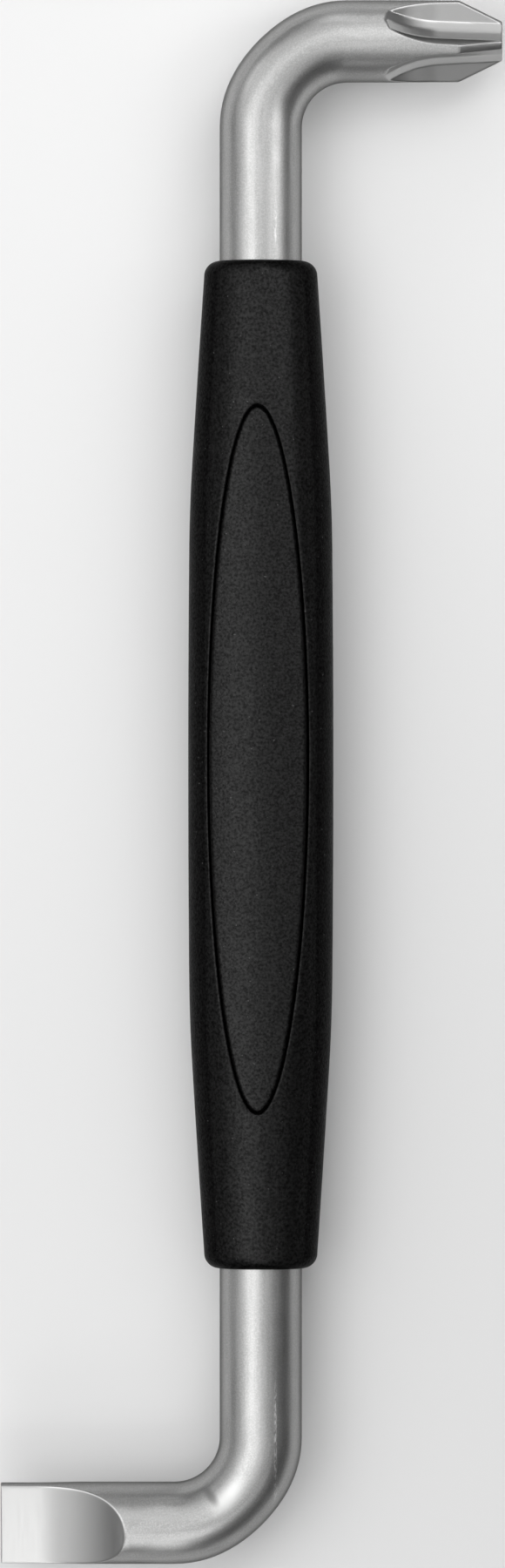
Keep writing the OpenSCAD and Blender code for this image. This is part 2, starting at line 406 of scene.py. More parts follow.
def flute_edge(d):
    """The angle from the middle of a flute to its edge on the cone or the round bar."""
    r = np.minimum(BAR_R, CROSS_END_R + d * math.tan(CONE_ANGLE))

    def cut(turn):
        return flute_cut(d, r * np.sin(turn), r * np.cos(turn)) > 0

    return np.maximum(halve(cut, 0 * d, 0 * d + math.pi / 4), LEAST_FLUTE)


print("a flute's edge, degrees from its middle, 0, 4 and 8 mm behind the end:",
      np.degrees(flute_edge(np.array([0.0, 4.0, 8.0]))).round(1))

# %% Columns round the cross point
FLOOR_COLUMNS, FLANK_COLUMNS, WING_COLUMNS = 6, 7, 15
CORNER_BUNCH = 0.006     # between the columns across the corner inside a flute
NARROW_EDGE = 0.1        # where half a flute is narrower, the bunch across its edge is squeezed
NARROW_CORNER = 0.3      # the same for the columns across the corner inside it; all three in radians
CORNER_SHARE = 0.8       # that corner stays within this share of the way to the edge


def cross_columns(d):
    """Angles from the middle of a flute to the middle of a wing, 36 for each ring: over the floor, across
    the corner inside the flute, up the side, across the outer edge and over half a wing. Where the flute
    runs out, they crowd together with it."""
    edge = flute_edge(d)
    bunch = edge[:, None] + (BUNCH / BAR_R)[None, :] * np.minimum(1, edge / NARROW_EDGE)[:, None]
    corner = np.arctan2(CORNER_U, floor_bottom(d) + CORNER_OVER)
    corner = np.minimum(corner, bunch[:, 0] * CORNER_SHARE)
    apart = CORNER_BUNCH * np.minimum(1, edge / NARROW_CORNER)
    near = corner[:, None] + np.array([-1, 0, 1]) * apart[:, None]
    floor = spread(0 * corner, near[:, 0], FLOOR_COLUMNS)
    flank = spread(near[:, -1], bunch[:, 0], FLANK_COLUMNS)[:, 1:]
    wing = spread(bunch[:, -1], 0 * d + math.pi / 4, WING_COLUMNS)[:, 1:]
    return np.concatenate([floor, near, flank, bunch, wing], 1)


# %% Columns all the way round
def all_round(half, repeats):
    """Repeats columns that run from 0 to half a symmetry sector, mirrored, all the way round."""
    sector = 2 * math.pi / repeats
    middle = np.full((len(half), 1), sector / 2)
    whole = np.concatenate([half, middle, sector - half[:, :0:-1]], 1)
    return np.concatenate([whole + k * sector for k in range(repeats)], 1)


blade_angles = all_round(blade_columns(from_blade.clip(0, SHAPED_LEN)), 2)
cross_angles = all_round(cross_columns(from_cross.clip(0, SHAPED_LEN)), 4)
print("columns round the blade and the cross point:", blade_angles.shape[1], cross_angles.shape[1])

# %% [markdown]
# ## The finished bar
# For every ring and column the test is solved for the radius where it is zero, by halving an interval.
# The points then go out from the centre line at that radius. The bends are a little flat on their
# outside, as cold bent bar is. Two attributes go along for the finish: where a point would lie if the bar
# were straight, so that draw marks can follow the bar round its bends, and how much a point was ground.

# %% Every column's angle
# An angle of 0 is the middle of a blade's face and of a wing. The cross point's columns start in the middle
# of a flute, so they are turned by half a sector and renumbered, which keeps each near its even angle.
HALF_SECTOR = COLUMNS // 8               # columns from a flute's middle to a wing's middle
BLADE_RELAX, CROSS_RELAX = (12.1, 16.5), (11.5, 15.0)    # mm from a tip, where columns turn to even angles

even = np.arange(COLUMNS) * 2 * math.pi / COLUMNS
wing_first = np.roll(cross_angles, -HALF_SECTOR, axis=1)
wing_first[:, -HALF_SECTOR:] += 2 * math.pi
wing_first -= math.pi / 4

relax_blade = smooth_step(from_blade, *BLADE_RELAX)[:, None]
relax_cross = smooth_step(from_cross, *CROSS_RELAX)[:, None]
on_cross_arm = from_cross[:, None] < FAR
angles = blade_angles * (1 - relax_blade) + even * relax_blade
angles = np.where(on_cross_arm, wing_first * (1 - relax_cross) + even * relax_cross, angles)
from_flute = (angles % (math.pi / 2)) - math.pi / 4
print("to follow an edge, a column turns by up to", round(float(np.abs(angles - even).max()), 3), "radians")

# %% Every point's radius
RADIUS_LOW, RADIUS_HIGH = 0.2, BAR_R + 0.2               # mm, between which every point's radius lies
GROUND_DEPTH = (0.015, 0.05)             # mm taken off: none of it counts as ground, all of it does


def solve_radius(test, from_tip, angles):
    """The radius where test(d, radius, angle) is zero, for every ring's distance d and every column."""
    d = from_tip.clip(0, SHAPED_LEN)[:, None]
    return halve(lambda r: test(d, r, angles) < 0, 0 * angles + RADIUS_LOW, 0 * angles + RADIUS_HIGH)


on_blade = (from_blade <= SHAPED_LEN)[:, None]
on_cross = (from_cross <= SHAPED_LEN)[:, None]
cross_r = np.where(on_cross, solve_radius(cross_test, from_cross, from_flute), BAR_R)
radius = np.where(on_blade, solve_radius(blade_test, from_blade, angles), cross_r)
ground = smooth_step(BAR_R - radius, *GROUND_DEPTH)
print(f"radius {radius.min():.3f} to {radius.max():.3f} mm")
print(f"{(ground > 0.5).mean():.0%} of the points are ground")

# %% The bar's points
BEND_FLAT = 0.3          # how much the outside of a bend is flattened

theta = angles - math.radians(POINT_TURN)
out_x, out_y = -ring_ty[:, None] * np.sin(theta), ring_tx[:, None] * np.sin(theta)
outward = np.where(ring_y[:, None] > 0, out_y - out_x, out_x - out_y).clip(0, None)
radius_bent = radius - BEND_FLAT * bend_share[:, None] * (outward / math.sqrt(2)).clip(0, 1) ** 2
bar_points = np.stack([
    ring_x[:, None] + radius_bent * out_x,
    ring_y[:, None] + radius_bent * out_y,
    AXIS_Z + radius_bent * np.cos(theta),
], -1)
straightened = np.stack([travelled[:, None] + 0 * theta, radius * np.sin(theta), radius * np.cos(theta)], -1)
print("grid of the bar's points, rings by columns:", bar_points.shape[:2])

# %% The bar, with its flat ends
CAP_SHARES = np.array([1, 0.97, 0.8, 0.5, 0.2, 0])[:, None, None]      # of the end's size, to its middle


def end_cap(ring, centre):
    """Rings that shrink to the middle of a tip's flat end: shares of the first ring's size."""
    return centre + (ring - centre) * CAP_SHARES


blade_cap = end_cap(bar_points[0], blade_tip)
cross_cap = end_cap(bar_points[-1], cross_tip)
straight_caps = [end_cap(straightened[k], np.array([straightened[k, 0, 0], 0, 0])) for k in (0, -1)]
shank = make_piece(
    "steel_bar",
    [(bar_points, True, True), (blade_cap, True, False), (cross_cap, True, True)],
    [
        ("straightened", "FLOAT_VECTOR", "vector",
         [straightened * MM, straight_caps[0] * MM, straight_caps[1] * MM]),
        ("ground", "FLOAT", "value", [ground, np.ones(blade_cap.shape[:2]), np.ones(cross_cap.shape[:2])]),
    ],
)
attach(shank, "root")
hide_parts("shank")

# %% [markdown]
# ## The handle's outline
# Seen from the front, the handle swells very slightly towards its middle, then bends over a long curve
# into a straight taper, and each end is rounded over. The outline could be drawn as a curve. Here it is
# written as a radius for every place along the bar, because core and grip both come from it, each at its
# own depth, and so they fit each other.

# %% The handle's radius along the bar
HALF_HANDLE = 49.0       # half its length
MIDDLE_R = 7.07          # radius in the middle of the handle
CROWN_R = 2200.0         # radius of the slight swelling, seen from the front
CURVE_START = 21.0       # where the long curve begins, from the middle
CURVE_R = 172.0          # its radius, seen from the front
CURVE_LEN = 7.9          # its length along the bar
END_ROUND = 1.45         # radius of the rounding at each end
BODY_END = HALF_HANDLE - END_ROUND


def handle_radius(y):
    """The middle radius, less a parabola for the crown, less a second parabola from the curve's start that
    goes on as a straight line where the curve ends."""
    y = np.abs(y)
    past = np.clip(y - CURVE_START, 0, CURVE_LEN)
    taper = np.clip(y - CURVE_START - CURVE_LEN, 0, None)
    return MIDDLE_R - y ** 2 / (2 * CROWN_R) - past ** 2 / (2 * CURVE_R) - taper * CURVE_LEN / CURVE_R


print("handle radius at 0, 20, 35 and 47.55 mm:", handle_radius(np.array([0, 20, 35, BODY_END])).round(3))

# %% [markdown]
# ## A grid round an oval
# The grip has an oval window, and the core has an oval pad in it. A plain grid would cut across the oval
# in steps. So the grid grows out of the oval like rings round a stone in water: its first rings follow
# the oval, and they turn step by step into a rectangle, whose long sides lie along the handle's left and
# right and whose short sides are half rings at its ends. The lower half is the upper half's mirror image.

# %% The ovals
AROUND = 288             # points round an oval
HALF, QUARTER = AROUND // 2, AROUND // 4
LONG_SIDE = 48           # of each quarter's points, those that face a long side; the rest face an end
PAD_SHIFT = 0.5          # the ovals' middle, from the handle's middle towards the cross point
PAD_HALF_W, PAD_HALF_LEN = 4.73, 34.15
WINDOW_HALF_W, WINDOW_HALF_LEN = 4.93, 34.35

step = np.arange(AROUND) * 2 * math.pi / AROUND
oval_cos, oval_sin = np.cos(step), np.sin(step)


def oval(half_w, half_len, grow):
    """An ellipse's points moved outwards by grow, square to the ellipse, as x and y."""
    normal = np.stack([half_len * oval_cos, half_w * oval_sin])
    normal /= np.hypot(*normal)
    return half_w * oval_cos + grow * normal[0], PAD_SHIFT + half_len * oval_sin + grow * normal[1]


print("window, mm:", 2 * WINDOW_HALF_W, "by", 2 * WINDOW_HALF_LEN)
print("pad, mm:", 2 * PAD_HALF_W, "by", 2 * PAD_HALF_LEN)


# %% The rectangle round an oval
def frame_points():
    """Where each oval point's line ends on the rectangle: an angle round the bar and a place along it.
    Points that face a long side are spread by the sine of their angle, the rest evenly by angle."""
    index = np.arange(AROUND)
    fold = np.minimum(index % HALF, HALF - index % HALF)
    place = np.minimum(1, np.sin(step[fold]) / math.sin(step[LONG_SIDE]))
    turn = math.pi / 2 * np.minimum(1, (QUARTER - fold) / (QUARTER - LONG_SIDE))
    return turn * np.where(oval_cos >= 0, 1, -1), BODY_END * place * np.where(index < HALF, 1, -1)


edge_turn, edge_y = frame_points()
print("points on the rectangle's long sides:", int((np.abs(edge_y) < BODY_END).sum()), "of", AROUND)


# %% Rings that grow from an oval to half a handle
def steps_to(count):
    """count equal steps from 0 to 1, without the 0."""
    return np.linspace(0, 1, count + 1)[1:]


def on_body(turn, y, inset):
    """Points of the round body, inset under its surface: turn is the angle from straight up."""
    r = handle_radius(y) - inset
    return np.stack([r * np.sin(turn), y, r * np.cos(turn)], -1)


def body_rings(half_w, half_len, grows, shares, inset):
    """Rings on the body from an oval outwards: first the oval grown by each of grows, then the last of
    those blended with the rectangle by each of shares, in angle and in place along the bar."""
    rings = []
    for grow in grows:
        x, y = oval(half_w, half_len, grow)
        rings.append((np.arcsin(x / (handle_radius(y) - inset)), y))
    turn, y = rings[-1]
    rings += [(turn + (edge_turn - turn) * s, y + (edge_y - y) * s) for s in shares]
    return np.stack([on_body(turn, y, inset) for turn, y in rings])


# %% Walls and rounded edges
def wall_rings(bottom, top):
    """A straight wall in three steps, without its first ring."""
    return bottom + (top - bottom) * steps_to(3)[:, None, None]


def corner_rings(wall, corner, face, count):
    """A rounded edge from a wall to a face, past the sharp corner between them: a quarter ellipse."""
    sweep = np.linspace(0, math.pi / 2, count)[:, None, None]
    return corner + (1 - np.sin(sweep)) * (wall - corner) + (1 - np.cos(sweep)) * (face - corner)


# %% Round ends
def end_profile(points, end):
    """Revolves a profile [[radius, place], ...] about the bar, with the angles that the body's rings end
    at, so that the two meet point for point. end is 1 or -1."""
    half_ring = edge_turn[LONG_SIDE:HALF - LONG_SIDE + 1]
    turn = np.concatenate([half_ring, math.pi - half_ring[1:-1][::-1]])
    r, y = np.array(points).T[:, :, None]
    return np.stack([r * np.sin(turn), end * y + 0 * turn, r * np.cos(turn)], -1)


def rounded_end(inset, count):
    """Profile of the handle's rounded end, inset under its surface, from the body to the end face: an arc
    that starts at the slope of the taper."""
    slope = math.atan(CURVE_LEN / CURVE_R)
    sweep = np.linspace(slope, math.pi / 2, count)
    end_r = float(handle_radius(BODY_END))
    r = end_r - END_ROUND / math.cos(slope) + (END_ROUND - inset) * np.cos(sweep)
    y = BODY_END + (END_ROUND - inset) * np.sin(sweep)
    return [[end_r - inset, BODY_END]] + np.stack([r, y], -1).tolist()


print("the handle's round end stops at radius", round(rounded_end(0, 2)[-1][0], 2), "mm")


# %% From the upper half to the whole handle
def place_on_bar(grid):
    """Turns a grid of handle points about the bar by the handle's own turn, and lifts it to the bar."""
    turn = math.radians(-HANDLE_TURN)
    x, y, z = np.moveaxis(grid, -1, 0)
    return np.stack([
        x * math.cos(turn) + z * math.sin(turn), y, AXIS_Z - x * math.sin(turn) + z * math.cos(turn)
    ], -1)


def both_halves(grid, wrap, flip):
    """A grid of the upper half and its mirror image below, which turns the other way round."""
    below = grid * np.array([1, 1, -1])
    return [(place_on_bar(grid), wrap, flip), (place_on_bar(below), wrap, not flip)]


# %% [markdown]
# ## The grip sleeve
# The soft grip is a skin 1 mm thick. Its window has a rounded lip, which is what shows in the photograph
# as a thin light line round the oval, and its wall goes straight down to the core. Inside, the skin lies on
# the core, and at both ends it closes on the bar. A window cut out of a tube and bevelled would have a
# ragged edge, so the skin is one run of rings: up the inside, up the window's wall, over the lip and down
# the outside.

# %% The sleeve's window
SLEEVE_WALL = 0.98       # its thickness, with 0.02 mm to the core
LIP_ROUND = 0.28         # radius of the window's lip
HOLE_R = 4.02            # radius of the hole for the bar, with 0.02 mm to it
NEAR_WINDOW = [LIP_ROUND, 0.5, 0.65, 0.9, 1.25]          # mm from the window to the first rings outside
NEAR_OVAL = [0, 0.25, 0.6]                               # the same for rings that are hidden
SEEN_STEPS, HIDDEN_STEPS = 12, 8         # from there to the rectangle
LIP_RINGS = 8

window = (WINDOW_HALF_W, WINDOW_HALF_LEN)
outer = body_rings(*window, NEAR_WINDOW, steps_to(SEEN_STEPS), 0)
inner = body_rings(*window, NEAR_OVAL, steps_to(HIDDEN_STEPS), SLEEVE_WALL)
lip_corner = body_rings(*window, [0], [], 0)[0]
lip_wall = lip_corner - np.array([0, 0, LIP_ROUND])
lip = corner_rings(lip_wall, lip_corner, outer[0], LIP_RINGS)
skin = np.concatenate([inner[::-1], wall_rings(inner[0], lip_wall), lip[1:], outer[1:]])
print("rings of the skin:", len(skin))

# %% The sleeve with its ends
HOLE_BEVEL = 0.12        # at the mouth of the hole for the bar
SEEN_ARC, HIDDEN_ARC = 12, 5             # points on a rounded end's arc

end_grids = []
for end in (1, -1):
    hole = [[HOLE_R + HOLE_BEVEL, HALF_HANDLE], [HOLE_R, HALF_HANDLE - HOLE_BEVEL],
            [HOLE_R, HALF_HANDLE - SLEEVE_WALL]]
    profile = rounded_end(0, SEEN_ARC) + hole + rounded_end(SLEEVE_WALL, HIDDEN_ARC)[::-1]
    end_grids.append((place_on_bar(end_profile(profile, end)), True, end > 0))
sleeve = make_piece("grip_sleeve_skin", both_halves(skin, True, True) + end_grids)
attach(sleeve, "root")
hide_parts("grip_sleeve")

# %% [markdown]
# ## The core and its pads
# The hard core fills the sleeve. Where the window is, it rises as a pad with a rounded edge and a face of
# its own, flatter than the grip beside it and plain, with the fine grain of its mould. Its grid is the
# sleeve's turned inside out: from the hidden barrel up the pad's wall, over the edge and in to the middle
# of the face.

# %% A pad's face
# The pads are the tool's highest and lowest points. Turned with the handle, a pad's round face reaches as
# high as its axle, lowered by the turn, plus its radius, which gives back the height of its crest.
PAD_FACE_R = 11.6        # radius of its round face
PAD_ROUND = 0.32         # radius of the edge round it
HAIR = 0.001             # mm that the crest stays under the CAD's, so that it can't stand out of the box

top = float(cad_box[1][2] / MM - AXIS_Z)
PAD_CREST = PAD_FACE_R + (top - PAD_FACE_R) / math.cos(math.radians(HANDLE_TURN)) - HAIR


def on_pad(x, y):
    """Points of the pad's face: a cylinder along the bar with its crest at PAD_CREST."""
    return np.stack([x, y, PAD_CREST - PAD_FACE_R + np.sqrt(PAD_FACE_R ** 2 - x ** 2)], -1)


def pad_rings(shares):
    """Rings on the pad's face: the oval drawn in by the edge's rounding, then shares of its size."""
    x, y = oval(PAD_HALF_W, PAD_HALF_LEN, -PAD_ROUND)
    return np.stack([on_pad(x * s, PAD_SHIFT + (y - PAD_SHIFT) * s) for s in shares])


beside = handle_radius(PAD_SHIFT + WINDOW_HALF_LEN * np.array([1, -1]))
print("from the bar's centre line to a pad's crest, mm:", round(PAD_CREST, 3))
print("and to the grip at the pad's ends:", beside.round(3))

# %% The core's rings
CORE_INSET = 1.0         # how far it lies under the handle's surface
FACE_SHARES = [1, 0.985, 0.95, 0.88, 0.76, 0.6, 0.4, 0.2, 0]           # of the face's size, to its middle
PAD_EDGE_RINGS = 9

barrel = body_rings(PAD_HALF_W, PAD_HALF_LEN, NEAR_OVAL, steps_to(HIDDEN_STEPS), CORE_INSET)
face = pad_rings(FACE_SHARES)
pad_corner = on_pad(*oval(PAD_HALF_W, PAD_HALF_LEN, 0))
pad_wall = pad_corner - np.array([0, 0, PAD_ROUND])
pad_edge = corner_rings(pad_wall, pad_corner, face[0], PAD_EDGE_RINGS)
body = np.concatenate([barrel[::-1], wall_rings(barrel[0], pad_wall), pad_edge[1:], face[1:]])
print("rings of the core:", len(body))

# %% The core with its ends and its bore
end_grids = []
for end in (1, -1):
    profile = rounded_end(CORE_INSET, HIDDEN_ARC) + [[HOLE_R, HALF_HANDLE - CORE_INSET]]
    end_grids.append((place_on_bar(end_profile(profile, end)), True, end > 0))
bore = end_profile([[HOLE_R, (HALF_HANDLE - CORE_INSET) * s] for s in (1, 0.5, 0, -0.5, -1)], 1)
end_grids.append((place_on_bar(bore), True, True))
core = make_piece("core_with_pads", both_halves(body, True, False) + end_grids)
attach(core, "root")
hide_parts("handle_core")

# %% [markdown]
# ## A recipe for a finish
# A finish is a small network of nodes that works out colour, roughness and bump at each point of the
# surface from where that point is. A photograph wrapped round the piece could do it too, but it would
# stretch at the points and show its seams, and nodes stay sharp at any distance. The helpers below make a
# node and wire it up in one call, so that each finish reads as a recipe.

# %% A material and its nodes
class Recipe:
    """A material with a Principled shader. A socket is given a number or a colour, or another node's
    output, which is wired to it."""

    def __init__(self, name):
        self.material = bpy.data.materials.new(name)
        self.material.use_nodes = True
        self.tree = self.material.node_tree

    def put(self, node, socket, value):
        """Wires value to a node's socket if it is another node's output, and writes it there otherwise."""
        if isinstance(value, bpy.types.NodeSocket):
            self.tree.links.new(value, node.inputs[socket])
        else:
            node.inputs[socket].default_value = value

    def add(self, kind, sockets=(), out=0, **options):
        """A new node with its options and sockets set: kind is its type without the word ShaderNode.
        Returns the output that out names."""
        node = self.tree.nodes.new("ShaderNode" + kind)
        for option, value in options.items():
            setattr(node, option, value)
        for socket, value in dict(sockets).items():
            self.put(node, socket, value)
        return node.outputs[out]

    def shade(self, piece, **sockets):
        """Sets the shader's sockets, whose names have _ for a space, and puts the material on a piece."""
        for socket, value in sockets.items():
            self.put(self.tree.nodes["Principled BSDF"], socket.replace("_", " "), value)
        piece.data.materials.append(self.material)
        print(f"{self.material.name}: {len(self.tree.nodes)} nodes, {len(self.tree.links)} links")


# %% Numbers in a recipe
INNER = (0.35, 0.65)     # most of a noise's values lie between these
OUTER = (0.3, 0.7)       # and nearly all of them between these


def compute(recipe, operation, *values):
    """One operation on one or two numbers."""
    return recipe.add("Math", dict(enumerate(values)), operation=operation)


def stretched(recipe, place, scale):
    """place times scale in x, y and z. Where that is under 1, what is read there is drawn out."""
    return recipe.add("Mapping", {"Vector": place, "Scale": scale})


def noise(recipe, place, scale, detail, roughness):
    """Noise from 0 to 1, read at place: scale in bumps per metre, detail in doublings of that scale, and
    roughness the share of its height that each doubling keeps."""
    return recipe.add("TexNoise", {
        "Vector": place, "Scale": scale, "Detail": detail, "Roughness": roughness,
    })


def remap(recipe, value, low, high, to_low, to_high, **options):
    """Takes low..high to to_low..to_high in a straight line, and stops at the ends."""
    return recipe.add("MapRange", {
        "Value": value, "From Min": low, "From Max": high, "To Min": to_low, "To Max": to_high,
    }, **options)


# %% Colours and bumps in a recipe
def grey(level):
    """An opaque grey."""
    return (level, level, level, 1)


def blend(recipe, share, low, high):
    """The colour low where share is 0 and high where it is 1. The node's colour sockets are 6 and 7."""
    return recipe.add("Mix", {"Factor": share, 6: low, 7: high}, out=2, data_type="RGBA")


def bump(recipe, height, metres, strength, under=None):
    """A bump: height 0..1 stands for that many metres. under is the normal of a bump below it."""
    sockets = {"Distance": metres, "Strength": strength, "Height": height}
    return recipe.add("Bump", sockets if under is None else {**sockets, "Normal": under})


# %% [markdown]
# ## Bending marks: painted highlights and shade
# The bar is bent cold, and the dies rub its plate along a thin line on the upper side. That line is painted
# near white, as a polished line and a painted highlight in one, and it is broken because the blasted grain
# is rubbed only on its tops. Inside the lower bend a lighter patch is a painted highlight. At the patch's
# left the pinched steel has a small crease, and the dark spot there is painted shade. These marks are too
# shallow to show in an outline, so they are shapes in the finish and not in the mesh. Each one is a share
# from 0 to 1 that is worked out from the place, and shares are multiplied where all have to hold.

# %% Where the marks are, in metres
# The line and the patch are where highlights are painted, and the crease is where shade is painted.
LINE = dict(middle=0.00142, flat=0.00003, reach=0.00020)         # in x, from the middle of the bar
LOWER_STRETCH = dict(middle=-0.0655, flat=0.0030, reach=0.0065)  # in y, at the lower bend
UPPER_STRETCH = dict(middle=0.0524, flat=0.0010, reach=0.0028, most=0.4)     # below the upper bend
DASHES = (6500, 2.0, 0.6)                # noise that breaks the line: scale, detail and roughness
DASH_LENGTHENED = (1, 0.22, 1)
DASH_SPAN = (0.44, 0.58, 0.05, 1)        # this much of the noise goes from a faint line to a full one
# The patch: a lighter tone inside the lower bend, a painted highlight.
PATCH = dict(middle=(-0.0032, -0.0711), half_len=0.0032, half_wide=0.0014, turn=52)
# The crease: a dark tone beside the patch, painted shade in the crease.
CREASE = dict(middle=(-0.0048, -0.0711), half_len=0.0014, half_wide=0.0007, turn=-56)
SPOT_CORE = 0.15         # share of a spot's size over which it is whole
ANY_HEIGHT = 1000        # metres: a spot reaches through the whole bar

print("the line fades out", LINE["reach"] / MM, "mm from its middle, and the patch is",
      2 * PATCH["half_len"] / MM, "mm long")


# %% Bands and spots
def band(recipe, value, middle, flat, reach, most=1.0):
    """most where value is within flat of middle, then falling in a straight line to 0 at reach from it."""
    size = compute(recipe, "ABSOLUTE", compute(recipe, "SUBTRACT", value, middle))
    return remap(recipe, size, flat, reach, most, 0)


def spot(recipe, place, middle, half_len, half_wide, turn):
    """A soft ellipse read from above: 1 at middle [x, y] and 0 at its edge, with its long side turned from
    the x axis by turn degrees. It is the length of the place in the ellipse's own measure."""
    own = recipe.add("Mapping", {
        "Vector": place, "Location": (*middle, 0), "Rotation": (0, 0, math.radians(turn)),
        "Scale": (half_len, half_wide, ANY_HEIGHT),
    }, vector_type="TEXTURE")
    length = recipe.add("VectorMath", {0: own}, out="Value", operation="LENGTH")
    return remap(recipe, length, SPOT_CORE, 1, 1, 0, interpolation_type="SMOOTHSTEP")


def all_of(recipe, *shares):
    """Shares multiplied."""
    whole = shares[0]
    for share in shares[1:]:
        whole = compute(recipe, "MULTIPLY", whole, share)
    return whole


# %% The marks' shares
def bend_highlights_and_shade(recipe, place):
    """The shares of the broken line and the patch, which are painted highlights, and of the crease, which is
    painted shade, all on the upper side.
    """
    x, y, z = recipe.add("SeparateXYZ", {0: place}).node.outputs
    lower, upper = band(recipe, y, **LOWER_STRETCH), band(recipe, y, **UPPER_STRETCH)
    stretches = compute(recipe, "MAXIMUM", lower, upper)
    dashes = noise(recipe, stretched(recipe, place, DASH_LENGTHENED), *DASHES)
    pieces = remap(recipe, dashes, *DASH_SPAN)
    above = remap(recipe, z, AXIS_Z * MM, (AXIS_Z + 1) * MM, 0, 1)
    line = all_of(recipe, band(recipe, x, **LINE), stretches, pieces, above)
    patch, crease = (all_of(recipe, spot(recipe, place, **mark), above) for mark in (PATCH, CREASE))
    return line, patch, crease


# %% [markdown]
# ## Satin nickel on steel
# The bar is nickel plated over a fine blasted grain. Its reflections are soft, with a grain of a tenth of a
# millimetre, and long faint streaks run along it from drawing and polishing. Where the points are ground,
# the grain gives way to a smoother surface with fine marks across the arm. Seen nearly edge-on the plate is
# dull, because its grains hide each other's shine, so the tint that a metal takes there is a dark one.
#
# Streaks that follow the bar round its bends would be hard to paint. Here they are plain noise, read at the
# straightened bar's coordinates and shrunk along it, which draws each bump of the noise out into a streak.

# %% The bar's values
BETWEEN_STREAKS, ON_STREAKS = (0.37, 0.37, 0.367, 1), (0.44, 0.44, 0.437, 1)
GRAIN_TOPS, GROUND_STEEL = (0.52, 0.52, 0.516, 1), (0.48, 0.48, 0.477, 1)
# Painted light: the line's near-white tone and the patch's lighter tone are painted highlights, and the
# crease's dark tone is painted shade.
BURNISH_AND_HIGHLIGHT, PAINTED_BEND_HIGHLIGHT, PAINTED_CREASE_SHADE = (1.0, 1.0, 0.995, 1), (0.62, 0.62, 0.616, 1), (0.25, 0.25, 0.248, 1)
EDGE_TINT = grey(0.15)
PLATE_ROUGHNESS, GROUND_ROUGHNESS = (0.34, 0.40), (0.30, 0.34)
# Noises are given by scale, detail and roughness, and bumps by height in metres and strength.
GRAIN, GRAIN_SPAN, GRAIN_BUMP = (7000, 2.0, 0.6), (0.42, 0.68, 0, 0.8), (0.00001, 0.35)
STREAKS, ALONG_THE_BAR, STREAK_BUMP = (1800, 3.0, 0.65), (0.06, 1, 1), (0.00001, 0.25)
MARKS, ACROSS_THE_ARM, MARK_BUMP = (5000, 2.0, 0.6), (1, 0.06, 0.06), (0.000004, 0.2)
CLOUD = (260, 3.0, 0.5)                  # slow changes of gloss


# %% The bar's finish
def satin_nickel(piece):
    """Metal whose colour and roughness follow a fine grain, and long streaks in the straightened bar. The
    blend of two roughnesses is a Mix node of numbers, whose sockets are 2 and 3."""
    recipe = Recipe("satin_nickel")
    place = recipe.add("TexCoord", out="Object")
    straight = recipe.add("Attribute", out="Vector", attribute_name="straightened")
    cut = recipe.add("Attribute", out="Fac", attribute_name="ground")
    grain = noise(recipe, place, *GRAIN)
    streaks = noise(recipe, stretched(recipe, straight, ALONG_THE_BAR), *STREAKS)
    marks = noise(recipe, stretched(recipe, straight, ACROSS_THE_ARM), *MARKS)

    tone = blend(recipe, remap(recipe, streaks, *INNER, 0, 1), BETWEEN_STREAKS, ON_STREAKS)
    tone = blend(recipe, remap(recipe, grain, *GRAIN_SPAN), tone, GRAIN_TOPS)
    tone = blend(recipe, cut, tone, GROUND_STEEL)
    # Painted highlights along the line and in the patch, and painted shade in the crease, laid over the
    # plate's tone.
    for share, colour in zip(bend_highlights_and_shade(recipe, place), (BURNISH_AND_HIGHLIGHT, PAINTED_BEND_HIGHLIGHT, PAINTED_CREASE_SHADE)):
        tone = blend(recipe, share, tone, colour)

    plated = remap(recipe, noise(recipe, place, *CLOUD), *OUTER, *PLATE_ROUGHNESS)
    shaped = remap(recipe, marks, *OUTER, *GROUND_ROUGHNESS)
    rough = recipe.add("Mix", {"Factor": cut, 2: plated, 3: shaped}, data_type="FLOAT")

    relief = bump(recipe, grain, *GRAIN_BUMP)
    relief = bump(recipe, streaks, *STREAK_BUMP, relief)
    relief = bump(recipe, marks, *MARK_BUMP, relief)
    recipe.shade(
        piece, Base_Color=tone, Metallic=1.0, Roughness=rough, Specular_Tint=EDGE_TINT, Normal=relief)


satin_nickel(shank)

# %% [markdown]
# ## Black moulding
# Core and grip are both matte black with the fine grain that spark erosion leaves in a mould. The grain
# breaks the highlight into a fine mottle, and a few specks of dust stay in it. One noise drives all of
# that: its tops are lighter, glossier and higher than its pits. The gloss fades where the surface turns
# away from the eye, because there the tops hide each other's shine. Modelled as a mesh the grain would
# take millions of faces, so it is a bump.

# %% The black finishes' values
MOTTLE, MOTTLE_STRENGTH = (3.0, 0.6), 0.6                # the grain's detail and roughness, and its bump's
GLOSS_CLOUD, ROUGHNESS_SPREAD = (400, 3.0, 0.5), 0.04    # slow changes of gloss, and how large they are
PIT_SHADE, TOP_SHADE = 0.1, 2.2          # tone in the grain's pits and on its tops, times the base grey
PIT_GLOSS, TOP_GLOSS = 0.12, 0.30
TURNED = (0.13, 0.38)                    # gloss fades between these, where 0 faces the eye and 1 is edge-on
TURNED_GLOSS = 0.05                      # the share that is left of it there
DUST, DUST_SPAN, DUST_GREY = (3600, 0.0, 0.5), (0.845, 0.87), 0.06       # only a noise's highest peaks


